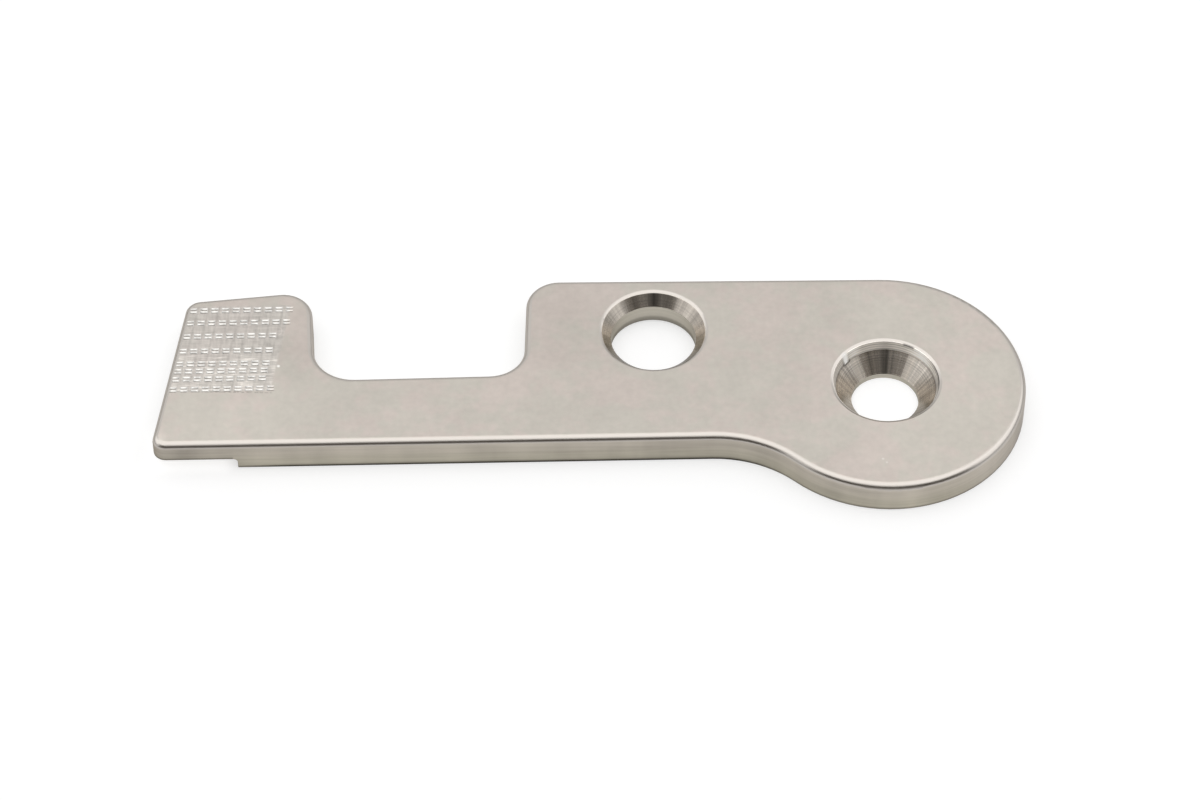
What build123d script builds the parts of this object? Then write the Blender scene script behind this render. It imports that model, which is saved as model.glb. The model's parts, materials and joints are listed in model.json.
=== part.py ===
# %% [markdown]
# # Gripper plate
#
# One flat steel plate. A round lobe with a screw hole sits at one end, and a straight
# arm with a second hole leads away from it. A deep notch is cut into the arm's far
# edge, and what is left past the notch is the jaw. The jaw has a stepped underside and
# rows of short engraved slots on its face, which give it its grip.
#
# The origin is on the axis of the lobe's hole, at the underside. +X runs along the arm
# towards the lobe, +Y from the near edge to the edge with the notch, and +Z up through
# the plate. All lengths are in millimetres and all angles in degrees.

# %%
import os
from math import atan2, degrees, radians, sqrt, tan

from build123d import *

# %% [markdown]
# ## Driving sizes
#
# The plate is cut from 3 mm stock. Its near edge and far edge are straight along the
# arm. The far edge leaves the lobe's circle as a tangent, and the near edge flows into
# the circle through the neck, which is hollow.

# %%
plate_thickness = 3.0

lobe_radius = 12.0
neck_radius = 10.2
near_edge_offset = 6.05
far_edge_lean = 0.7

# %% [markdown]
# The notch opens towards +Y. Its two walls lean apart, and its floor falls a little
# towards the jaw. Each wall's place is where its line crosses the X axis.

# %%
lobe_side_wall_distance = 31.2
jaw_side_wall_distance = 49.05
notch_wall_lean = 2.4
notch_floor_height = 1.55
notch_floor_lean = 0.6
lobe_side_floor_radius = 3.1
jaw_side_floor_radius = 3.6
arm_shoulder_radius = 2.9

# %% [markdown]
# The jaw's far edge falls towards its tip, and the jaw's end leans back over it.

# %%
jaw_end_distance = 62.0
jaw_end_lean = 9.0
jaw_far_height = 11.75
jaw_far_lean = 5.6
jaw_shoulder_radius = 2.6
jaw_tip_radius = 1.4
jaw_heel_radius = 1.1

# %% [markdown]
# Both holes are for flat-headed screws. The lobe's hole takes the head below the face:
# its cone starts at the floor of a steep recess, and the recess opens to the face with a
# narrow bevel. Each spread is how much wider one end is than the other, on every side.
# The arm's hole is a plain countersink over a wider bore, with both rims rounded.

# %%
lobe_bore_diameter = 5.8
lobe_sink_diameter = 8.6
lobe_sink_depth = 0.89
lobe_recess_spread = 0.25
lobe_bevel_spread = 0.25
lobe_bevel_depth = 0.13

arm_hole_along = 19.8
arm_hole_across = 6.2
arm_bore_diameter = 7.4
arm_sink_diameter = 9.2

sink_angle = 82.0

# %% [markdown]
# The underside of the jaw is relieved, so that the jaw is thinner than the arm. The
# relief is measured from the jaw's end. The face's edge has a generous round, and the
# underside's edge is only broken.

# %%
relief_length = 6.4
relief_depth = 1.08
relief_corner_radius = 0.4

face_edge_radius = 0.6
arm_rim_radius = 0.4
underside_edge_radius = 0.12

# %% [markdown]
# The grip is made of short slots in pairs, with walls that lean outwards. The first row
# is placed from the jaw's tip. A step is the distance from one row to the next: the rows
# nearest the tip are well apart and the others are closer. Each row starts at the same
# distance from the jaw's end, so its columns lean with the end, and it has as many pairs
# as fit before the notch. A setback is how much sooner than the first row a row stops.

# %%
slot_length = 0.66
slot_width = 0.28
slot_floor_width = 0.03
slot_depth = 0.06
slot_distance = 0.34
slot_pitch = 0.93

grip_tip_margin = 1.27
grip_end_margin = 0.42
grip_notch_margin = 3.2
row_steps = (1.45, 1.55, 1.7, 1.47, 0.84, 0.91, 1.16)
row_setbacks = (0, 0, 0.9, 0.9, 0.9, 0.9, 0.9, 0)

# %% [markdown]
# ## The straight edges and where they meet
#
# Each straight edge lies on an endless line through one known point. The sharp corners
# are where neighbouring lines cross, and the outline rounds them later.

# %%
along_plate = Vector(1, 0, 0)
across_plate = Vector(0, 1, 0)

near_edge = Axis((0, -near_edge_offset, 0), along_plate)
far_edge_start = Vector(0, lobe_radius, 0).rotate(Axis.Z, -far_edge_lean)
far_edge = Axis(far_edge_start, along_plate.rotate(Axis.Z, -far_edge_lean))

lobe_side_wall = Axis(
    (-lobe_side_wall_distance, 0, 0),
    across_plate.rotate(Axis.Z, -notch_wall_lean),
)
jaw_side_wall = Axis(
    (-jaw_side_wall_distance, 0, 0),
    across_plate.rotate(Axis.Z, notch_wall_lean),
)
notch_floor = Axis(
    (-lobe_side_wall_distance, notch_floor_height, 0),
    along_plate.rotate(Axis.Z, notch_floor_lean),
)
jaw_far_edge = Axis(
    (-jaw_side_wall_distance, jaw_far_height, 0),
    along_plate.rotate(Axis.Z, jaw_far_lean),
)
jaw_end = Axis(
    (-jaw_end_distance, 0, 0),
    across_plate.rotate(Axis.Z, -jaw_end_lean),
)

# %%
jaw_heel = near_edge.intersect(jaw_end)
jaw_tip = jaw_end.intersect(jaw_far_edge)
jaw_shoulder = jaw_far_edge.intersect(jaw_side_wall)
jaw_side_floor_corner = jaw_side_wall.intersect(notch_floor)
lobe_side_floor_corner = notch_floor.intersect(lobe_side_wall)
arm_shoulder = lobe_side_wall.intersect(far_edge)

# %% [markdown]
# The neck is an arc that touches the near edge and the lobe's circle. Its centre is one
# neck radius outside both.

# %%
neck_centre_y = -(near_edge_offset + neck_radius)
neck_centre_x = -sqrt((lobe_radius + neck_radius) ** 2 - neck_centre_y**2)
neck_start = Vector(neck_centre_x, -near_edge_offset)
neck_end = Vector(neck_centre_x, neck_centre_y).normalized() * lobe_radius

# %% [markdown]
# The longest row takes up the jaw's length less a margin at each end. The wall of a slot
# leans by the angle whose tangent is the wall's spread over its depth.

# %%
jaw_length = jaw_end_distance - jaw_side_wall_distance
longest_row = jaw_length - grip_end_margin - grip_notch_margin
first_row_height = jaw_tip.Y - grip_tip_margin
slot_wall_spread = (slot_width - slot_floor_width) / 2
slot_wall_lean = degrees(atan2(slot_wall_spread, slot_depth))

# %% [markdown]
# The lobe's seat is a turned shape. Its half profile runs from the bore to the cone, the
# recess and the bevel. The cone ends where it has narrowed to the bore.

# %%
bore_radius = lobe_bore_diameter / 2
sink_radius = lobe_sink_diameter / 2
mouth_radius = sink_radius + lobe_recess_spread
rim_radius = mouth_radius + lobe_bevel_spread

sink_top = plate_thickness - lobe_sink_depth
sink_end = sink_top - (sink_radius - bore_radius) / tan(radians(sink_angle / 2))
bevel_end = plate_thickness - lobe_bevel_depth

# %% [markdown]
# ## The plate
#
# The closed outline runs from the neck along the near edge to the jaw, in and out of
# the notch, back to the lobe and round it. It is extruded to the stock's thickness.
# The edges are rounded before any hole opens in the face, because the face's border is
# then the outline alone. The slots of the grip are cut last.

# %%
with BuildPart() as gripper_plate:
    with BuildSketch() as outline:
        with BuildLine():
            FilletPolyline(
                neck_start,
                jaw_heel,
                jaw_tip,
                jaw_shoulder,
                jaw_side_floor_corner,
                lobe_side_floor_corner,
                arm_shoulder,
                far_edge_start,
                radius=[
                    jaw_heel_radius,
                    jaw_tip_radius,
                    jaw_shoulder_radius,
                    jaw_side_floor_radius,
                    lobe_side_floor_radius,
                    arm_shoulder_radius,
                ],
            )
            ThreePointArc(far_edge_start, (lobe_radius, 0), neck_end)
            RadiusArc(neck_end, neck_start, -neck_radius)
        make_face()
    extrude(amount=plate_thickness)

    # The relief starts at a wall straight across the plate, with a round in its corner.
    with BuildSketch(Plane.XZ):
        with Locations((relief_length - jaw_end_distance, 0)):
            Rectangle(
                jaw_end_distance,
                2 * relief_depth,
                align=(Align.MAX, Align.CENTER),
            )
    extrude(amount=2 * lobe_radius, both=True, mode=Mode.SUBTRACT)
    relief_corner = gripper_plate.edges().filter_by(Axis.Y).sort_by(Axis.Z)[-1]
    fillet(relief_corner, relief_corner_radius)

    # The face's whole border is rounded.
    level_faces = gripper_plate.faces().filter_by(Axis.Z).sort_by(Axis.Z)
    fillet(level_faces[-1].outer_wire().edges(), face_edge_radius)

    # The underside's border is broken, on both sides of the step and down the step.
    level_faces = gripper_plate.faces().filter_by(Axis.Z).sort_by(Axis.Z)
    border = level_faces[0].outer_wire().edges() + level_faces[1].outer_wire().edges()
    fillet(border - border.filter_by(Axis.Y), underside_edge_radius)

    # The lobe's seat is its half profile, turned about the hole's axis.
    with BuildSketch(Plane.XZ):
        with BuildLine():
            Polyline(
                (0, 0),
                (bore_radius, 0),
                (bore_radius, sink_end),
                (sink_radius, sink_top),
                (mouth_radius, bevel_end),
                (rim_radius, plate_thickness),
                (0, plate_thickness),
                close=True,
            )
        make_face()
    revolve(axis=Axis.Z, mode=Mode.SUBTRACT)

    # The arm's countersink starts at the face, and both rims of the hole are rounded.
    with Locations((-arm_hole_along, arm_hole_across, plate_thickness)):
        CounterSinkHole(
            radius=arm_bore_diameter / 2,
            counter_sink_radius=arm_sink_diameter / 2,
            counter_sink_angle=sink_angle,
        )
    level_faces = gripper_plate.faces().filter_by(Axis.Z).sort_by(Axis.Z)
    upper_rim = level_faces[-1].inner_wires().sort_by(Axis.X)[0]
    lower_rim = level_faces[0].inner_wires().sort_by(Axis.X)[0]
    fillet(upper_rim.edges() + lower_rim.edges(), arm_rim_radius)

    # Each row of slots is centred on the stretch that its pairs take up.
    with BuildSketch(Plane.XY.offset(plate_thickness)) as grip:
        row_height = first_row_height
        for row_step, row_setback in zip((0, *row_steps), row_setbacks):
            row_height -= row_step
            steps_in_row = int((longest_row - row_setback - slot_length) / slot_pitch)
            jaw_end_at_row = row_height * tan(radians(jaw_end_lean)) - jaw_end_distance
            row_start = jaw_end_at_row + grip_end_margin
            row_length = steps_in_row * slot_pitch + slot_length
            with Locations((row_start + row_length / 2, row_height)):
                with GridLocations(slot_pitch, slot_distance, steps_in_row + 1, 2):
                    Rectangle(slot_length, slot_width)
    extrude(amount=-slot_depth, taper=slot_wall_lean, mode=Mode.SUBTRACT)

# %% [markdown]
# ## Writing the piece

# %%
gripper_plate.part.label = "gripper_plate"

os.makedirs("parts", exist_ok=True)
export_step(gripper_plate.part, "parts/gripper_plate.step")
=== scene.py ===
# %% [markdown]
# # Dressing a steel gripper plate
#
# This notebook takes the finished model of a small steel plate and gives it the looks of
# the real one: satin steel, a bright rounded edge, two turned screw seats and a field of
# engraved marks on the jaw. The model keeps its shape and its place. What we add is a
# camera, a white table, soft studio light, and one steel material that knows which part
# of the plate it is on.
#
# Blender works in metres here, and the plate is only 75 mm long. So we think in
# millimetres and turn them into metres with one small value.

# %% Load the plate
import json
import math

import bpy
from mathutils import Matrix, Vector

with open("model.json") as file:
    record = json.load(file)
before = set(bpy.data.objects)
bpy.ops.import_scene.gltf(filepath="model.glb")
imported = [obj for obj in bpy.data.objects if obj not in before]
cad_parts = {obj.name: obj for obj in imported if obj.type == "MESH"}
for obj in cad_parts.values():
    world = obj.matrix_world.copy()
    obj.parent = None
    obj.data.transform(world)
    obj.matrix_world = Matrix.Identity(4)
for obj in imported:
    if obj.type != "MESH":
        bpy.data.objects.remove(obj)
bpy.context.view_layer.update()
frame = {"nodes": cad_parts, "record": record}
plate = frame["nodes"]["gripper_plate"]
MM = 0.001

# %% [markdown]
# ## The camera
#
# The photograph was taken with a long lens from well above the plate: parallel edges
# stay almost parallel, and both hole rims are ellipses three quarters as high as they
# are wide. A long lens can be had by a longer focal length or by a narrower sensor. We
# keep the usual 36 mm sensor and set 135 mm, and then find the camera's place from the
# point it looks at, its distance and two angles. Working back from the aim like this is
# easier to adjust than typing a position and a rotation.

# %% Place the camera
aim_point = Vector((-24.63, -1.71, 3.0)) * MM
camera_distance = 384.9 * MM
looking_down = math.radians(48.94)
turned_aside = math.radians(1.335)

line_of_sight = Vector((
    math.cos(looking_down) * math.sin(turned_aside),
    math.cos(looking_down) * math.cos(turned_aside),
    -math.sin(looking_down),
))

lens = bpy.data.cameras.new("long_lens")
lens.lens = 135
lens.sensor_width = 36
lens.clip_start = 10 * MM

camera = bpy.data.objects.new("camera", lens)
camera.location = aim_point - line_of_sight * camera_distance
camera.rotation_euler = line_of_sight.to_track_quat("-Z", "Y").to_euler()
bpy.context.scene.collection.objects.link(camera)
bpy.context.scene.camera = camera
print("camera at", [round(place / MM, 1) for place in camera.location], "mm")

# %% [markdown]
# Blender usually bends its colours the way film does. We want a tone that is written as
# 0.5 to come out as 0.5, so that we can compare the render with the photograph by
# numbers, and ask for the plain way.

# %% Show colours plainly
bpy.context.scene.view_settings.view_transform = "Standard"
print("colours are shown the", bpy.context.scene.view_settings.view_transform, "way")

# %% [markdown]
# ## Small helpers for node trees
#
# A material in Blender is a tree of nodes. Building one by hand in code soon fills pages
# with `nodes.new` and `links.new`, so we write one helper that adds a node, sets its
# options and feeds its inputs, either with a plain number or with another node's output.
# It works on one tree at a time, and two more helpers say which. A fourth tells us how
# large the tree has grown.

# %% Helpers that grow a node tree
tree = None


def start_tree(owner):
    """Empties the node tree of a material or a world, and puts the helpers to work on it."""
    global tree
    owner.use_nodes = True
    tree = owner.node_tree
    tree.nodes.clear()


def start_material(name):
    """Makes a material and puts the helpers to work on its tree."""
    material = bpy.data.materials.new(name)
    start_tree(material)
    return material


def add_node(kind, *feeds, **options):
    """Adds a node to the tree at work, and feeds its inputs in order. None leaves one alone."""
    new_node = tree.nodes.new(kind)
    for option, value in options.items():
        setattr(new_node, option, value)
    for place, feed in enumerate(feeds):
        if isinstance(feed, bpy.types.NodeSocket):
            tree.links.new(feed, new_node.inputs[place])
        elif feed is not None:
            new_node.inputs[place].default_value = feed
    return new_node


def report(finish):
    """Prints what has just been made, and how many nodes the tree has by then."""
    print(finish, "made, nodes so far:", len(tree.nodes))


# %% [markdown]
# The next helpers are steps of arithmetic on values that differ from point to point. A
# mask is such a value too: it is 1 where something holds, such as "this is the wall", and
# 0 where it doesn't. Masks are multiplied to say "and", and a soft step makes one from
# any value.

# %% Helpers that reckon with values and masks
def calculate(operation, *numbers):
    """One step of arithmetic, such as SUBTRACT, MAXIMUM or ABSOLUTE."""
    return add_node("ShaderNodeMath", *numbers, operation=operation).outputs[0]


def product_of(first, *others):
    """All the values multiplied with each other."""
    product = first
    for other in others:
        product = calculate("MULTIPLY", product, other)
    return product


def add_to(value, *parts):
    """The value plus each part times its strength."""
    for part, strength in parts:
        value = calculate("MULTIPLY_ADD", part, strength, value)
    return value


# %% Helpers that make and use masks
def soft_step(value, start, end):
    """0 where the value is before start, 1 past end, and a smooth rise between."""
    step = add_node(
        "ShaderNodeMapRange", value, start, end, 0.0, 1.0, interpolation_type="SMOOTHSTEP"
    )
    return step.outputs[0]


def plateau(value, start, full, last_full, end):
    """A mask that rises from start to full, and falls again from last_full to end."""
    return product_of(soft_step(value, start, full), soft_step(value, end, last_full))


def blend(mask, under, over):
    """The number under where the mask is 0, and over where it is 1."""
    mix = add_node("ShaderNodeMix", mask, None, under, over, data_type="FLOAT")
    return mix.outputs[0]


# %% [markdown]
# The last helpers for now ask two things: where a point lies on its object, and who looks
# at it. The camera, and a mirror that the camera looks into, can be shown another
# brightness than the light that the same surface sends to matt things.

# %% Helpers that ask where and for whom
def place_in_mm():
    """Where this point lies on its object, in millimetres."""
    place = add_node("ShaderNodeTexCoord").outputs["Object"]
    scaled = add_node("ShaderNodeVectorMath", place, operation="SCALE")
    scaled.inputs["Scale"].default_value = 1 / MM
    return scaled.outputs[0]


def parts_of(vector):
    """The three parts of a vector: along the plate, across it, and up."""
    return add_node("ShaderNodeSeparateXYZ", vector).outputs


def seen_by_eye_or_mirror():
    """1 for rays from the camera or from something shiny or clear, and 0 for all others."""
    ray = add_node("ShaderNodeLightPath").outputs
    eye_or_gloss = calculate("MAXIMUM", ray["Is Camera Ray"], ray["Is Glossy Ray"])
    return calculate("MAXIMUM", eye_or_gloss, ray["Is Transmission Ray"])


# %% [markdown]
# ## The white table
#
# The plate lies on a white sheet that the photograph shows as pure white, with only a
# thin soft shadow where the plate stands on it. A white floor under more light would
# also turn white, but that light would wash out the steel. So the floor glows a little
# of its own accord, only towards what looks at it: the camera, and the mirror-like rays
# that the steel sends out. The rest of its brightness is ordinary white paper in the
# studio's light, and that part darkens in the shadow.
#
# The sheet is a single square of mesh, a hair below the plate's underside, so that the
# two faces don't fight for the same depth.

# %% Lay the table
table_half_width = 3.0
table_gap = 0.02 * MM

table_mesh = bpy.data.meshes.new("white_table")
table_corners = [
    (table_half_width * side, table_half_width * end, -table_gap)
    for side, end in ((-1, -1), (1, -1), (1, 1), (-1, 1))
]
table_mesh.from_pydata(table_corners, [], [(0, 1, 2, 3)])
table = bpy.data.objects.new("white_table", table_mesh)
bpy.context.scene.collection.objects.link(table)

# %% [markdown]
# Under the raised jaw the real sheet is hardly darker than elsewhere, so ours glows a
# little more there. The four numbers of each stretch say where that extra glow starts, is
# full, is full for the last time, and ends. The sheet's lower side is clear, so that a
# camera below the table can look through it at the plate's underside.

# %% Make its paper
paper_white = (0.45, 0.45, 0.45, 1.0)
paper_glow = 0.6
extra_glow = 0.15
stretch_along = (-64.5, -62.0, -57.0, -55.6)
stretch_across = (-7.2, -5.3, -4.0, 0.0)

paper = start_material("white_paper")
table_along, table_across, _ = parts_of(place_in_mm())
under_jaw = product_of(
    plateau(table_along, *stretch_along), plateau(table_across, *stretch_across)
)
local_glow = add_to(paper_glow, (under_jaw, extra_glow))
glow = add_node("ShaderNodeEmission", None, product_of(local_glow, seen_by_eye_or_mirror()))
sheet = add_node("ShaderNodeBsdfDiffuse", paper_white)
both = add_node("ShaderNodeAddShader", sheet.outputs[0], glow.outputs[0])

lower_side = add_node("ShaderNodeNewGeometry").outputs["Backfacing"]
clear = add_node("ShaderNodeBsdfTransparent")
one_sided = add_node("ShaderNodeMixShader", lower_side, both.outputs[0], clear.outputs[0])
add_node("ShaderNodeOutputMaterial", one_sided.outputs[0])
table.data.materials.append(paper)
print("paper glows", paper_glow, "and reflects", paper_white[0])

# %% [markdown]
# ## The light
#
# Polished metal has hardly any look of its own: it shows what stands round it. The
# photograph tells us what that was. The edge's rounding runs through every slope, so it
# mirrors the whole studio from the table up to the ceiling, and it shows a bright line
# for a broad lamp overhead and a dark line below it for the unlit front of the room,
# where the photographer stood. Everything else was white.
#
# We build the same studio: white all round, a soft lamp above, a grey card in front and a
# soft panel on each side. A hand-painted environment picture would do as well, but plain
# things are easier to move, and they say what they are.

# %% Surround it with white
room_light = 0.8
room_white = (1.0, 1.0, 1.0, 1.0)

room = bpy.data.worlds.new("white_room")
bpy.context.scene.world = room
start_tree(room)
brightness = blend(seen_by_eye_or_mirror(), room_light, 1.0)
background = add_node("ShaderNodeBackground", room_white, brightness)
add_node("ShaderNodeOutputWorld", background.outputs[0])
print("the room looks white and lights the plate with", room_light)

# %% Hang the soft lamp
lamp_height = 500 * MM
lamp_forward = 44 * MM
lamp_width = 800 * MM
lamp_depth = 580 * MM
lamp_brightness = 0.75

lamp_data = bpy.data.lights.new("soft_lamp", "AREA")
lamp_data.shape = "RECTANGLE"
lamp_data.size = lamp_width
lamp_data.size_y = lamp_depth
lamp_data.energy = lamp_brightness * math.pi * lamp_width * lamp_depth
lamp = bpy.data.objects.new("soft_lamp", lamp_data)
lamp.location = (aim_point.x, aim_point.y - lamp_forward, lamp_height)
bpy.context.scene.collection.objects.link(lamp)
print("lamp power", round(lamp_data.energy, 2), "W")

# %% [markdown]
# The other things in the studio are strips of a cylinder round the plate, with the plate
# at its centre, so that each fills the same band of directions for every part of the
# plate. One helper bends such a strip. Its angles run from the front towards the lobe's
# end, and from the table upwards. All strips are hidden from the camera, for views from
# other sides.

# %% Bend a strip of the studio
def bend_strip(name, distance, angles_round, angles_up):
    """Makes a strip of a cylinder round the plate, between two angles round and two angles up."""
    pieces = 24
    first_angle, last_angle = angles_round
    corners = []
    for piece in range(pieces + 1):
        swing = math.radians(first_angle + (last_angle - first_angle) * piece / pieces)
        for rise in angles_up:
            corners.append((
                aim_point.x + distance * math.sin(swing),
                aim_point.y - distance * math.cos(swing),
                distance * math.tan(math.radians(rise)),
            ))
    faces = [(2 * piece, 2 * piece + 2, 2 * piece + 3, 2 * piece + 1) for piece in range(pieces)]
    mesh = bpy.data.meshes.new(name)
    mesh.from_pydata(corners, [], faces)
    strip = bpy.data.objects.new(name, mesh)
    strip.visible_camera = False
    bpy.context.scene.collection.objects.link(strip)
    print(name, "reaches", round(corners[1][2] / MM), "mm up")
    return strip


# %% [markdown]
# The grey card stands behind the camera. It makes the dark line along the near edge and
# the dark sector at the far side of each screw seat. In the photograph that sector
# reaches further to the left than to the right, and a hollow cone swaps the sides, so
# the card reaches further to the right.

# %% Stand the grey card in front
card_distance = 600 * MM
card_round = (-53, 62)
card_up = (0, 40)
card_grey = (0.15, 0.132, 0.112, 1.0)

card = bend_strip("grey_card", card_distance, card_round, card_up)
card.data.materials.append(start_material("dark_felt"))
felt = add_node("ShaderNodeBsdfDiffuse", card_grey)
add_node("ShaderNodeOutputMaterial", felt.outputs[0])

# %% [markdown]
# The bright line of the near edge runs on round the lobe and round the jaw's corner until
# the edge faces straight sideways, and the bright rims of the holes reach as far. So
# there was a soft light on each side. We stand a glowing panel left and right. They
# glow only for mirror-like rays, so they add no light of their own to the table.

# %% Stand a soft panel on each side
panel_distance = 700 * MM
panels_round = {"right": (72, 134), "left": (-134, -72)}
panel_up = (20, 52)
panel_glow = 1.7

for side, panel_round in panels_round.items():
    panel = bend_strip(side + "_panel", panel_distance, panel_round, panel_up)
    panel.visible_shadow = False
    panel.visible_diffuse = False
    panel.data.materials.append(start_material(side + "_panel_cloth"))
    panel_light = add_node("ShaderNodeEmission", None, panel_glow)
    add_node("ShaderNodeOutputMaterial", panel_light.outputs[0])

# %% [markdown]
# The far edges and the side edges of the plate show a thin line that is darker than the
# face, because a round edge there mirrors what stands low behind the plate. A studio's
# white wall is dim just above the table, and white a little higher up. We stand a screen
# all round, far behind the rest, that is dim at its foot and white at its top. Its glow
# is worked out from the height.

# %% Stand a screen all round
screen_distance = 2400 * MM
screen_round = (-180, 180)
screen_up = (0, 14)
screen_foot_glow = 0.12
screen_top_glow = 1.0

screen = bend_strip("white_screen", screen_distance, screen_round, screen_up)
screen.visible_shadow = False
screen.visible_diffuse = False
screen.data.materials.append(start_material("screen_cloth"))
screen_top = max(corner.co.z for corner in screen.data.vertices) / MM
screen_height = parts_of(place_in_mm())[2]
screen_glow = blend(
    calculate("DIVIDE", screen_height, screen_top), screen_foot_glow, screen_top_glow
)
screen_light = add_node("ShaderNodeEmission", None, screen_glow)
add_node("ShaderNodeOutputMaterial", screen_light.outputs[0])

# %% [markdown]
# ## The steel
#
# The whole plate is one piece of steel, but its surfaces were made in different ways.
# The face was tumbled until it was satin. The edge's rounding was rubbed bright. The
# side wall still has the streaks of the cutter, and the screw seats were turned. We
# could split the model into pieces with a material each, but the plate is one piece, so
# it gets one material that finds out where it is and picks the finish.
#
# The upward part of the surface's direction tells the surfaces apart. It is 1 on the
# face, -1 on the underside and 0 on the walls, and the cones of the seats lie between.
# A range, here and below, is the value where a soft step starts and the one where it
# ends, in millimetres where it is a length.

# %% Start the steel
level_range = (0.97, 0.995)
upright_range = (0.4, 0.1)

steel = start_material("satin_steel")
here = place_in_mm()
along, across, height = parts_of(here)
upward_part = parts_of(add_node("ShaderNodeTexCoord").outputs["Normal"])[2]
flatness = calculate("ABSOLUTE", upward_part)
face_or_underside = soft_step(flatness, *level_range)
side_wall = soft_step(flatness, *upright_range)
report("masks of the face and the wall")

# %% [markdown]
# The screw seats are told apart from the rest by their distance from the axis of their
# hole. The model's record says where both axes are.

# %% Tell the holes apart
lobe_seat_radius = 4.57
arm_seat_radius = 4.48
seat_softness = 0.03

mounts = {mount["name"]: Vector(mount["pos_m"]) / MM for mount in frame["record"]["mounts"]}


def offset_from(axis):
    """How far this point lies from an upright axis, as a level vector in millimetres."""
    foot = (axis[0], axis[1], 0.0)
    offset = add_node("ShaderNodeVectorMath", here, foot, operation="SUBTRACT").outputs[0]
    level = add_node("ShaderNodeVectorMath", offset, (1.0, 1.0, 0.0), operation="MULTIPLY")
    return level.outputs[0]


def length_of(vector):
    """The length of a vector."""
    return add_node("ShaderNodeVectorMath", vector, operation="LENGTH").outputs["Value"]


lobe_offset = offset_from(mounts["lobe_bore"])
arm_offset = offset_from(mounts["arm_bore"])
from_lobe_axis = length_of(lobe_offset)
from_arm_axis = length_of(arm_offset)
in_lobe_hole = soft_step(from_lobe_axis, lobe_seat_radius + seat_softness, lobe_seat_radius)
in_arm_hole = soft_step(from_arm_axis, arm_seat_radius + seat_softness, arm_seat_radius)
in_a_hole = calculate("MAXIMUM", in_lobe_hole, in_arm_hole)
print("holes at", [tuple(round(part, 1) for part in place.xy) for place in mounts.values()][:2])

# %% [markdown]
# ### The satin face
#
# A tumbled face is neither brushed nor blasted: small stones have rubbed it from every
# side. From a step away it is an even, soft, slightly warm grey, and a closer look shows
# cloudy patches a few millimetres wide and a fine mottle. We get them with noise textures
# of several sizes, some for their brightness and some for their tint. Noise can also be
# stretched: where we multiply the place by a larger number, the pattern becomes finer.

# %% Helpers that make noise and mix colours
def noise(vector, scale, detail=2.0, roughness=0.5):
    """A smooth random value about 0.5, with blobs about 1/scale millimetres wide."""
    texture = add_node("ShaderNodeTexNoise", vector)
    texture.inputs["Scale"].default_value = scale
    texture.inputs["Detail"].default_value = detail
    texture.inputs["Roughness"].default_value = roughness
    return texture.outputs[0]


def stretched_noise(scales, detail, roughness=0.5):
    """Noise with a scale of its own along the plate, across it, and up."""
    stretched = add_node("ShaderNodeVectorMath", here, scales, operation="MULTIPLY")
    return noise(stretched.outputs[0], scale=1.0, detail=detail, roughness=roughness)


def blend_colour(mask, under, over):
    """The colour under where the mask is 0, and over where it is 1."""
    mix = add_node("ShaderNodeMix", mask, data_type="RGBA")
    for place, colour in ((6, under), (7, over)):
        if isinstance(colour, bpy.types.NodeSocket):
            tree.links.new(colour, mix.inputs[place])
        else:
            mix.inputs[place].default_value = (*colour, 1.0)
    return mix.outputs[2]


# %% Cloud the face
face_pink = (0.546, 0.488, 0.447)
face_green = (0.518, 0.487, 0.437)
small_tint_strength = 0.6
tint_range = (0.66, 0.94)
face_start = 0.84
cloud_strength = 0.16

wide_tint = noise(here, scale=0.2)
small_tint = noise(here, scale=0.9)
tint_clouds = soft_step(add_to(wide_tint, (small_tint, small_tint_strength)), *tint_range)
face_colour = blend_colour(tint_clouds, face_pink, face_green)

wide_clouds = noise(here, scale=0.5, detail=3.0)
small_clouds = noise(here, scale=1.7, detail=3.0)
face_brightness = add_to(
    face_start, (wide_clouds, cloud_strength), (small_clouds, cloud_strength)
)
report("clouds of the face")

# %% [markdown]
# Some parts of the face are painted a little lighter or darker over a centimetre or so:
# painted light and shade, where light falls more or less brightly on the face. We list
# them as round patches: a middle, a reach and a strength.

# %% Paint light and shade on some places
painted_light_patches = {
    "lobe": ((5.0, -1.0), 16.0, 0.08),
    "lobe_far_side": ((1.0, 9.5), 6.0, 0.045),
    "lobe_near_side": ((0.0, -9.0), 6.0, 0.03),
    "arm_middle": ((-40.0, -2.0), 14.0, 0.025),
    "jaw_corner": ((-57.0, -3.5), 12.0, 0.10),
    "jaw_heel": ((-62.8, -5.3), 1.8, 0.25),
    "jaw_by_notch": ((-50.0, 4.5), 5.5, -0.05),
    "beside_arm_hole": ((-27.0, 7.0), 7.0, -0.08),
}


def add_patches(brightness, patches):
    """Adds round patches to a brightness, each fading out from its middle to its reach."""
    for middle, reach, strength in patches.values():
        patch = soft_step(length_of(offset_from(middle)), reach, 0.0)
        brightness = add_to(brightness, (patch, strength))
    return brightness


# painted light and shade: the patches lighten or darken the face
face_brightness = add_patches(face_brightness, painted_light_patches)
print(len(painted_light_patches), "painted light patches")

# %% [markdown]
# ### The grip on the jaw
#
# The pairs of slots are in the model. Round them the tool has left its traces: faint
# upright lines in line with the gaps between the slots, fine strokes both ways, and
# small squares that are lighter or darker. The four lower rows stand closer, and there
# the whole ground is lighter. To draw all that we need two directions on the jaw: the
# distance from its slanted end, and the distance across it.

# %% Helpers that mark off a region
def gap_between(value, middle):
    """How far a value lies from the middle, on either side of it."""
    return calculate("ABSOLUTE", calculate("SUBTRACT", value, middle))


def opposite(mask):
    """1 where the mask is 0, and 0 where it is 1."""
    return calculate("SUBTRACT", 1.0, mask)


def within(value, low, high, softness):
    """A mask that is 1 where the value lies between low and high, with two soft sides."""
    return plateau(value, low, low + softness, high - softness, high)


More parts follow.
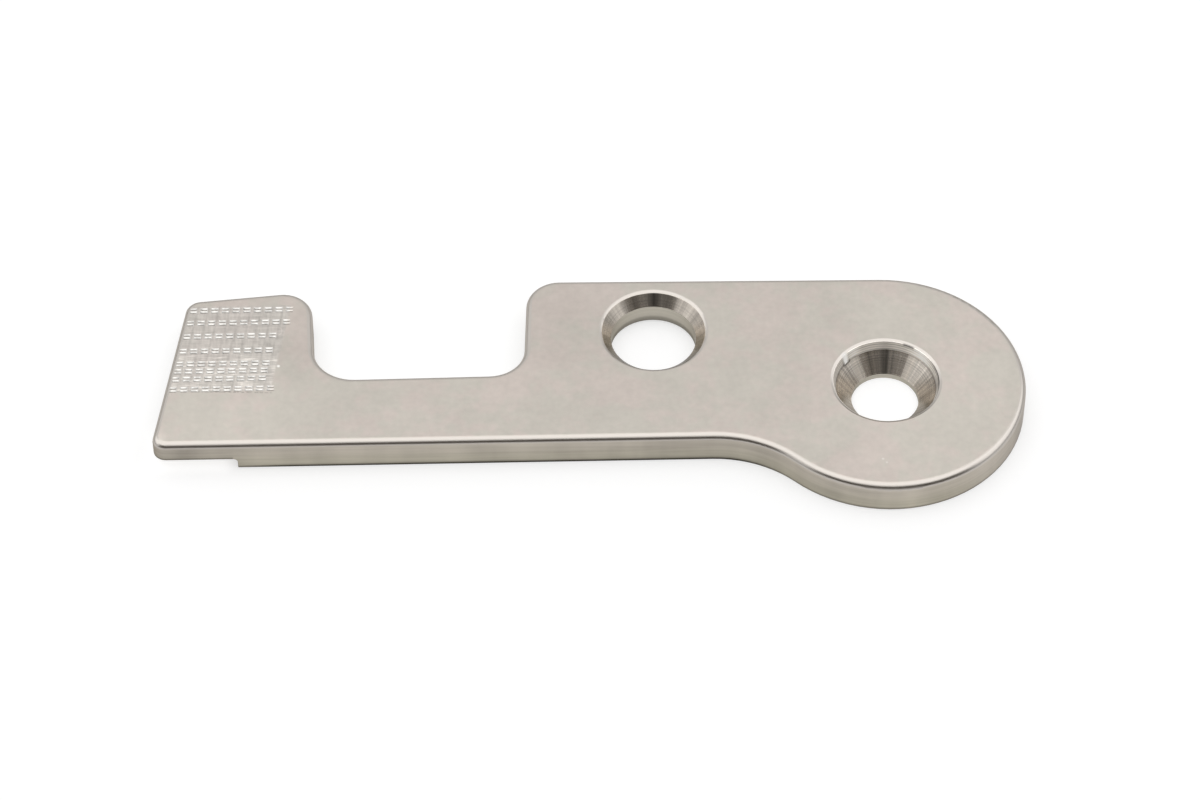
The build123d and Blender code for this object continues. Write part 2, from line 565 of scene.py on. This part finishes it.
# %% Mark out the grip
jaw_end_distance = 62.0
jaw_end_slant = math.tan(math.radians(9.0))
grip_from_end = (0.35, 9.3)
grip_across = (-0.1, 10.0)
grip_softness = 0.3
close_rows_range = (4.4, 3.9)
top_range = (2.9, 2.92)
slot_range = (2.998, 2.99)

from_jaw_end = add_to(
    calculate("ADD", along, jaw_end_distance), (across, -jaw_end_slant)
)
on_top = soft_step(height, *top_range)
in_grip = product_of(
    within(from_jaw_end, *grip_from_end, grip_softness),
    within(across, *grip_across, grip_softness),
    on_top,
)
in_close_rows = product_of(in_grip, soft_step(across, *close_rows_range))
in_slot = product_of(in_grip, soft_step(height, *slot_range), opposite(face_or_underside))
report("masks of the grip and its slots")

# %% Draw the traces round the slots
slot_pitch = 0.93
first_gap = 0.28
gap_line_range = (0.16, 0.05)
square_scale = 1.9

steps_along = calculate("DIVIDE", calculate("ADD", from_jaw_end, first_gap), slot_pitch)
gap_line = soft_step(gap_between(calculate("FRACT", steps_along), 0.5), *gap_line_range)
upright_strokes = stretched_noise((4.5, 0.7, 1.0), detail=2.0)
level_strokes = stretched_noise((0.7, 4.5, 1.0), detail=2.0)
squares = add_node("ShaderNodeTexVoronoi", here, distance="CHEBYCHEV")
squares.inputs["Scale"].default_value = square_scale
square_shade = parts_of(squares.outputs["Color"])[0]
report("traces round the slots")

# %% Mix the traces
grip_start = 0.52
stroke_strength = 0.42
square_strength = 0.11
gap_line_strength = -0.08
close_rows_strength = 0.06
rubbed_streak_strength = 0.3
rubbed_streak_range = (0.5, 0.72)

rubbed_streaks = product_of(soft_step(level_strokes, *rubbed_streak_range), in_close_rows)
grip_brightness = add_to(
    grip_start,
    (upright_strokes, stroke_strength),
    (level_strokes, stroke_strength),
    (square_shade, square_strength),
    (gap_line, gap_line_strength),
    (in_close_rows, close_rows_strength),
    (rubbed_streaks, rubbed_streak_strength),
)
report("brightness of the grip")

# %% Paint glints on the slots
# painted glints: the slots are painted whiter than the face, and unevenly bright, over the glints
# that their walls mirror
slot_glint_white = (0.60, 0.588, 0.565)
slot_glint_start = 0.66
glint_unevenness_strength = 0.4
glint_unevenness_range = (0.3, 0.65)
grip_grey = (0.527, 0.496, 0.462)
grip_grey_share = 0.7

glint_unevenness = soft_step(noise(here, scale=2.6), *glint_unevenness_range)
slot_glint_brightness = add_to(slot_glint_start, (glint_unevenness, glint_unevenness_strength))
face_colour = blend_colour(product_of(in_grip, grip_grey_share), face_colour, grip_grey)
report("painted glints of the slots")

# %% [markdown]
# ### The rubbed edge and the wall
#
# The rounding is smoother than the face and the wall, so it gets a lower roughness and
# its lines come out sharp. The wall is a little darker and more yellow than the face, and
# more so towards its foot, and lighter at the lobe's end. Its streaks run along it. They
# are noise that has been squeezed: stretched along the plate and pressed together in
# height.

# %% Streak the wall
wall_upper = (0.445, 0.405, 0.35)
wall_lower = (0.425, 0.395, 0.325)
wall_lobe_end = (0.52, 0.482, 0.438)
lower_range = (2.4, 0.4)
lobe_end_range = (4.0, 11.5)
edge_colour = (0.505, 0.472, 0.436)

streaks = stretched_noise((0.12, 0.12, 4.0), detail=4.0, roughness=0.6)
long_streaks = stretched_noise((0.05, 0.05, 1.3), detail=1.0)
upright_clouds = stretched_noise((0.3, 0.3, 0.06), detail=3.0)
wall_clouds = noise(here, scale=0.16)
wall_colour = blend_colour(soft_step(height, *lower_range), wall_upper, wall_lower)
wall_colour = blend_colour(soft_step(along, *lobe_end_range), wall_colour, wall_lobe_end)
report("streaks and colour of the wall")

# %% [markdown]
# The real wall is duller at the neck, on the arm and on the jaw, and a little lighter
# round the lobe. We use round patches again, and a soft step for the lobe.

# %% Mix the wall's brightness
wall_start = 0.27
streak_strength = 0.38
long_streak_strength = 0.3
wall_cloud_strength = 0.3
upright_cloud_strength = 0.48
lobe_wall_strength = 0.05
lobe_wall_range = (-5.0, 3.0)
dull_patches = {
    "neck": ((-13.0, -6.0), 13.0, -0.12),
    "arm": ((-29.0, -6.0), 15.0, -0.09),
    "jaw": ((-61.0, -6.0), 9.0, -0.25),
}

wall_brightness = add_to(
    wall_start,
    (streaks, streak_strength),
    (long_streaks, long_streak_strength),
    (wall_clouds, wall_cloud_strength),
    (upright_clouds, upright_cloud_strength),
    (soft_step(along, *lobe_wall_range), lobe_wall_strength),
)
wall_brightness = add_patches(wall_brightness, dull_patches)
report("brightness of the wall")

# %% [markdown]
# The wall ends in a fine dark line at its foot: painted shade, the contact shadow at the
# sharp lower edge. The line is broader along the straight stretch of the arm. Under the jaw
# the foot is higher up, as the underside steps up there.

# %% Paint shade at the foot of the wall
relief_edge_range = (-55.9, -56.0)
relief_depth = 1.08
fine_shade_range = (0.38, 0.14)
fine_shade_strength = -0.5
broad_shade_range = (0.55, 0.2)
broad_shade_strength = -0.4
straight_along = (-57.0, -8.0)
straight_softness = 6.0
straight_across_range = (-3.0, -5.0)

local_foot = product_of(soft_step(along, *relief_edge_range), relief_depth)
above_foot = calculate("SUBTRACT", height, local_foot)
fine_foot_shade = soft_step(above_foot, *fine_shade_range)
broad_foot_shade = product_of(
    soft_step(above_foot, *broad_shade_range),
    within(along, *straight_along, straight_softness),
    soft_step(across, *straight_across_range),
)
# painted shade: the foot of the wall is darkened like a contact shadow
painted_foot_shade = add_to(
    1.0, (fine_foot_shade, fine_shade_strength), (broad_foot_shade, broad_shade_strength)
)
report("dark foot of the wall")

# %% [markdown]
# ### The turned seats
#
# The seats were cut with a turning tool that chattered. The tool's feed leaves fine rings
# round the hole, and the chatter leaves bands that fan out from it. A turned surface also
# mirrors its surroundings in streaks that fan out, so in the brightness the bands are partly
# painted reflection. The direction from the axis is the same all along such a band, so
# noise that is fed with the direction alone, and not with the distance, fans out in the
# same way: once with broad bands and once with fine ones. Noise that is fed with the
# distance alone makes rings. The strongest light and dark bands of the real seats are
# painted light and shade, the reflections the cones show, added one by one by their angle
# from the far edge.

# %% Helpers that go round a hole
def fan(offset, scale):
    """Noise that depends only on the direction from a hole's axis."""
    direction = add_node("ShaderNodeVectorMath", offset, operation="NORMALIZE").outputs[0]
    return noise(direction, scale, detail=3.0, roughness=0.6)


def angle_round(offset):
    """The angle round a hole's axis: 0 towards the far edge, and growing towards the lobe's end."""
    sideways, away, _ = parts_of(offset)
    return calculate("ARCTAN2", sideways, away)


def add_bands(brightness, angle, bands):
    """Adds single bands to a brightness, each with its angle, half width and strength."""
    for middle, half_width, strength in bands:
        off_band = gap_between(angle, math.radians(middle))
        band = soft_step(off_band, math.radians(half_width), 0.0)
        brightness = add_to(brightness, (band, strength))
    return brightness


lobe_angle = angle_round(lobe_offset)
arm_angle = angle_round(arm_offset)

# %% Fan out the bands of the lobe's seat
lobe_seat_colour = (0.47, 0.432, 0.385)
lobe_start = 0.05
lobe_fan_strength = 0.5
lobe_fine_fan_strength = 1.4
# painted light and shade: bands of reflection by their angle round the lobe's seat
lobe_light_bands = (
    (-88, 16, 0.35), (-51, 14, -0.38), (-27, 13, 0.6), (-12, 6, 0.25),
    (3, 9, -0.6), (27, 20, 0.28), (50, 9, -0.34), (78, 24, -0.22),
)
torn_bands = ((-39, 8, 1.0), (39, 9, 1.0))

lobe_fan = fan(lobe_offset, scale=5.0)
lobe_fine_fan = fan(lobe_offset, scale=15.0)
lobe_cone = add_to(
    lobe_start, (lobe_fan, lobe_fan_strength), (lobe_fine_fan, lobe_fine_fan_strength)
)
lobe_cone = add_bands(lobe_cone, lobe_angle, lobe_light_bands)
torn = product_of(in_lobe_hole, add_bands(0.0, lobe_angle, torn_bands))
report("bands of the lobe's seat")

# %% Fan out the bands of the arm's seat
arm_seat_colour = (0.44, 0.402, 0.356)
arm_start = 0.3
arm_fan_strength = 0.35
arm_fine_fan_strength = 0.85
# painted light and shade: bands of reflection by their angle round the arm's seat
arm_light_bands = (
    (-93, 30, 1.2), (-30, 8, 0.25), (-12, 7, 0.3),
    (3, 11, -0.62), (32, 9, 0.28), (99, 42, 1.0),
)

arm_fan = fan(arm_offset, scale=3.0)
arm_fine_fan = fan(arm_offset, scale=12.0)
arm_cone = add_to(
    arm_start, (arm_fan, arm_fan_strength), (arm_fine_fan, arm_fine_fan_strength)
)
arm_cone = add_bands(arm_cone, arm_angle, arm_light_bands)
report("bands of the arm's seat")

# %% [markdown]
# Both seats are painted darker towards their near side: painted shade. Their rings are
# laid over the bands, and they are much stronger in the lobe's seat than in the arm's. As
# both seats share one material, each value is blended from the arm's and the lobe's by
# the lobe's mask.

# %% A helper that darkens
def darken(value, mask, share):
    """The value, less this share of it where the mask is 1."""
    return product_of(value, add_to(1.0, (mask, -share)))


# %% Turn the rings
lobe_ring_contrast = 1.8
arm_ring_contrast = 0.45
near_shade_range = (math.radians(105), math.radians(145))
near_shade_share = 0.6

lobe_rings = noise(from_lobe_axis, scale=7.0, detail=3.0)
arm_rings = noise(from_arm_axis, scale=8.0, detail=3.0)
rings = blend(in_lobe_hole, arm_rings, lobe_rings)
broad_bands = blend(in_lobe_hole, arm_fan, lobe_fan)
ring_contrast = blend(in_lobe_hole, arm_ring_contrast, lobe_ring_contrast)
# painted shade: each seat is darker towards its near side
near_side_shade = blend(
    in_lobe_hole,
    soft_step(calculate("ABSOLUTE", arm_angle), *near_shade_range),
    soft_step(calculate("ABSOLUTE", lobe_angle), *near_shade_range),
)
seat_colour = blend_colour(in_lobe_hole, arm_seat_colour, lobe_seat_colour)
seat_brightness = product_of(
    blend(in_lobe_hole, arm_cone, lobe_cone),
    add_to(1.0, (calculate("SUBTRACT", rings, 0.5), ring_contrast)),
)
seat_brightness = darken(seat_brightness, near_side_shade, near_shade_share)
report("rings of the seats")

# %% [markdown]
# The lobe's seat starts with a short steep recess above its cone. It is the lightest part
# of the seat: its near-white colour and its light bands are painted light, for the bright
# reflections of its steep wall. One dark ring runs just below its rim, towards the lobe's
# end, and another runs along its bottom, where it meets the cone.

# %% Find the recess
recess_radius_range = (4.29, 4.33)
recess_height_range = (1.91, 2.01)
corner_ring_place = (4.19, 4.39)
corner_ring_softness = 0.06
corner_ring_share = 0.2

in_recess = product_of(
    in_lobe_hole,
    soft_step(from_lobe_axis, *recess_radius_range),
    soft_step(height, *recess_height_range),
)
# a darker ring at the bottom of the recess, where it meets the cone
corner_ring = within(from_lobe_axis, *corner_ring_place, corner_ring_softness)
seat_brightness = darken(seat_brightness, corner_ring, corner_ring_share)
report("mask of the recess")

# %% Finish the recess
# painted light: the recess is painted near white, and its bands are painted reflections
recess_light_colour = (0.95, 0.905, 0.845)
recess_start = -0.07
level_ring_strength = 1.7
recess_light_bands = ((-36, 14, 0.26), (4, 14, -0.12), (48, 26, 0.36), (92, 18, -0.2))
top_ring_range = (2.65, 2.82)
top_ring_angles = (math.radians(35), math.radians(80))
top_ring_strength = -0.5
bottom_ring_range = (2.27, 2.11)
bottom_ring_strength = -0.35

level_rings = noise(height, scale=5.0, detail=3.0)
top_ring = product_of(
    soft_step(height, *top_ring_range), soft_step(lobe_angle, *top_ring_angles)
)
bottom_ring = soft_step(height, *bottom_ring_range)
recess_brightness = add_to(
    recess_start,
    (level_rings, level_ring_strength),
    (top_ring, top_ring_strength),
    (bottom_ring, bottom_ring_strength),
)
recess_brightness = add_bands(recess_brightness, lobe_angle, recess_light_bands)
report("rings of the recess")

# %% [markdown]
# The bore below the arm's seat is reamed: it has level rings. Its lower rim is painted
# darker: painted shade, the contact shadow where the bore meets the table.

# %% Finish the bores
bore_colour = (0.45, 0.42, 0.36)
bore_start = 0.7
bore_ring_strength = 0.6
arm_bore_range = (1.96, 1.93)
lower_shade_range = (1.0, 0.5)
lower_shade_share = 0.45

in_arm_bore = product_of(in_arm_hole, soft_step(height, *arm_bore_range))
# painted shade: the bore darkens towards its lower rim
lower_rim_shade = product_of(in_arm_hole, soft_step(height, *lower_shade_range))
bore_brightness = add_to(bore_start, (level_rings, bore_ring_strength))
bore_brightness = darken(bore_brightness, lower_rim_shade, lower_shade_share)
report("bores")

# %% [markdown]
# ### Small marks of use
#
# The real plate has a few marks that we keep: a nick on the rim of the lobe's hole with a
# bright flake below it, a burr on the same rim, two specks on the lobe, a bright fleck and
# a fine arc beside the grip, and a broken dark line below the grip's last row. The bright
# ones are round, and each has its middle, its reach and its strength. They are painted
# near white: a painted highlight on each real mark.

# %% Place the bright marks
highlighted_marks = {
    "nick": ((-3.3, 2.86), 0.52, 1.0),
    "nick_foot": ((-3.15, 2.66), 0.34, 0.8),
    "flake": ((-2.98, 2.48), 0.22, 0.7),
    "fleck": ((-52.22, 2.8), 0.2, 0.8),
    "first_speck": ((-0.85, -8.85), 0.16, 0.25),
    "second_speck": ((-0.55, -9.25), 0.14, 0.25),
}
# painted highlight: the bright marks are painted near white
highlight_white = (1.0, 0.985, 0.96)
full_share = 0.25
mark_height_range = (2.0, 2.1)

highlighted_mark = 0.0
for middle, reach, strength in highlighted_marks.values():
    mark = soft_step(length_of(offset_from(middle)), reach, full_share * reach)
    highlighted_mark = calculate("MAXIMUM", highlighted_mark, product_of(mark, strength))
highlighted_mark = product_of(highlighted_mark, soft_step(height, *mark_height_range))
report("bright marks")

# %% Place the burr
burr_radius = 4.56
burr_width = 0.085
burr_softness = 0.05
burr_angles = (math.radians(21), math.radians(37))
burr_end_softness = 0.06
burr_share = 0.6

burr = product_of(
    within(from_lobe_axis, burr_radius - burr_width, burr_radius + burr_width, burr_softness),
    within(lobe_angle, *burr_angles, burr_end_softness),
)
report("burr")

# %% Draw the arc and the dark line
arc_middle = (-52.5, 6.84)
arc_radius = 0.5
arc_range = (0.1, 0.0)
arc_fade = 0.3
arc_strength = 0.12
line_place = 0.15
line_fall = -0.04
line_range = (0.11, 0.03)
line_from_end = (0.3, 9.4)
line_softness = 0.3
line_break_range = (0.35, 0.6)
line_strength = -0.3

arc = product_of(
    soft_step(gap_between(length_of(offset_from(arc_middle)), arc_radius), *arc_range),
    soft_step(along, arc_middle[0], arc_middle[0] + arc_fade),
    on_top,
)
off_line = gap_between(across, add_to(line_place, (from_jaw_end, line_fall)))
dark_line = product_of(
    soft_step(off_line, *line_range),
    within(from_jaw_end, *line_from_end, line_softness),
    soft_step(upright_strokes, *line_break_range),
    on_top,
)
face_brightness = add_to(face_brightness, (arc, arc_strength), (dark_line, line_strength))
face_brightness = product_of(face_brightness, blend(in_grip, 1.0, grip_brightness))
report("arc and dark line")

# %% [markdown]
# ### All finishes together
#
# Now each finish is laid over the one before, where its mask is 1. The edge's rounding
# needs no mask: it is what is left where no other finish lies. The painted shade at the
# foot of the wall and the burr darken what is there, and the bright marks, painted near
# white as highlights, come last.

# %% Tell the walls apart
bore_wall = calculate("MAXIMUM", product_of(in_a_hole, side_wall), in_arm_bore)
seat_wall = product_of(
    in_a_hole, opposite(calculate("MAXIMUM", bore_wall, face_or_underside))
)
outer_wall = product_of(side_wall, opposite(in_a_hole))
outside = opposite(calculate("MAXIMUM", in_a_hole, face_or_underside))
report("masks of all walls")

# %% Lay the finishes over each other
finishes = (
    (face_or_underside, face_colour, face_brightness),
    (in_slot, slot_glint_white, slot_glint_brightness),
    (outer_wall, wall_colour, wall_brightness),
    (seat_wall, seat_colour, seat_brightness),
    (bore_wall, bore_colour, bore_brightness),
    (in_recess, recess_light_colour, recess_brightness),
)

colour = edge_colour
shade = 1.0
for mask, finish_colour, finish_brightness in finishes:
    colour = blend_colour(mask, colour, finish_colour)
    shade = blend(mask, shade, finish_brightness)

# painted shade at the foot of the wall
shade = product_of(shade, blend(outside, 1.0, painted_foot_shade))
shade = darken(shade, burr, burr_share)
# painted highlights of the bright marks
colour = blend_colour(highlighted_mark, colour, highlight_white)
shade = blend(highlighted_mark, shade, 1.0)
shaded_colour = add_node("ShaderNodeVectorMath", colour, operation="SCALE")
tree.links.new(shade, shaded_colour.inputs["Scale"])
report("colour")

# %% [markdown]
# The roughness is laid over in the same way. Torn steel scatters light as paper does, so
# the bright marks are rough and less metallic than the rest.

# %% Set the gloss
face_roughness = 0.34
edge_roughness = 0.28
wall_roughness = 0.32
seat_roughness = 0.25
torn_roughness = 0.5
recess_roughness = 0.6
mark_roughness = 1.0
mark_loss_of_metal = 0.8

roughness_layers = (
    (face_or_underside, face_roughness),
    (side_wall, wall_roughness),
    (seat_wall, blend(torn, seat_roughness, torn_roughness)),
    (in_recess, recess_roughness),
    (highlighted_mark, mark_roughness),
)

gloss = edge_roughness
for mask, roughness in roughness_layers:
    gloss = blend(mask, gloss, roughness)
metal = add_to(1.0, (highlighted_mark, -mark_loss_of_metal))
report("gloss")

# %% [markdown]
# The last touch is a bump, which tilts the surface for the light without moving it. Its
# height is given in millimetres: a thousandth or so for the tumbled face and the rings, a
# few for the streaks of the wall, and more for the chatter in the seats. The nick leans
# back from the steep wall of the recess, so that it catches the light from above.

# %% Raise the finest unevenness
tumble_height = 0.0012
streak_height = 0.004
ring_height = 0.001
chatter_height = 0.016
nick_lean = 0.7
face_height = 3.0

tumble = noise(here, scale=5.0)
face_relief = product_of(tumble, tumble_height)
wall_relief = product_of(streaks, streak_height)
seat_relief = add_to(product_of(rings, ring_height), (broad_bands, chatter_height))
relief = blend(outer_wall, face_relief, wall_relief)
relief = blend(seat_wall, relief, seat_relief)
below_face = calculate("SUBTRACT", face_height, height)
relief = add_to(relief, (product_of(highlighted_mark, below_face), nick_lean))

bump = add_node("ShaderNodeBump")
bump.inputs["Strength"].default_value = 1.0
bump.inputs["Distance"].default_value = MM
tree.links.new(relief, bump.inputs["Height"])
report("bump")

# %% [markdown]
# Clean metal turns as bright as a mirror where we look along it. Used steel doesn't, as
# its pores hold oil, so the shader's specular tint is darker than white.

# %% Finish the steel
oily_tint = (0.58, 0.56, 0.53, 1.0)

surface = add_node("ShaderNodeBsdfPrincipled")
surface.inputs["Specular Tint"].default_value = oily_tint
tree.links.new(shaded_colour.outputs[0], surface.inputs["Base Color"])
tree.links.new(metal, surface.inputs["Metallic"])
tree.links.new(gloss, surface.inputs["Roughness"])
tree.links.new(bump.outputs[0], surface.inputs["Normal"])
add_node("ShaderNodeOutputMaterial", surface.outputs[0])

plate.material_slots[0].material = steel
print("the steel has", len(tree.nodes), "nodes")
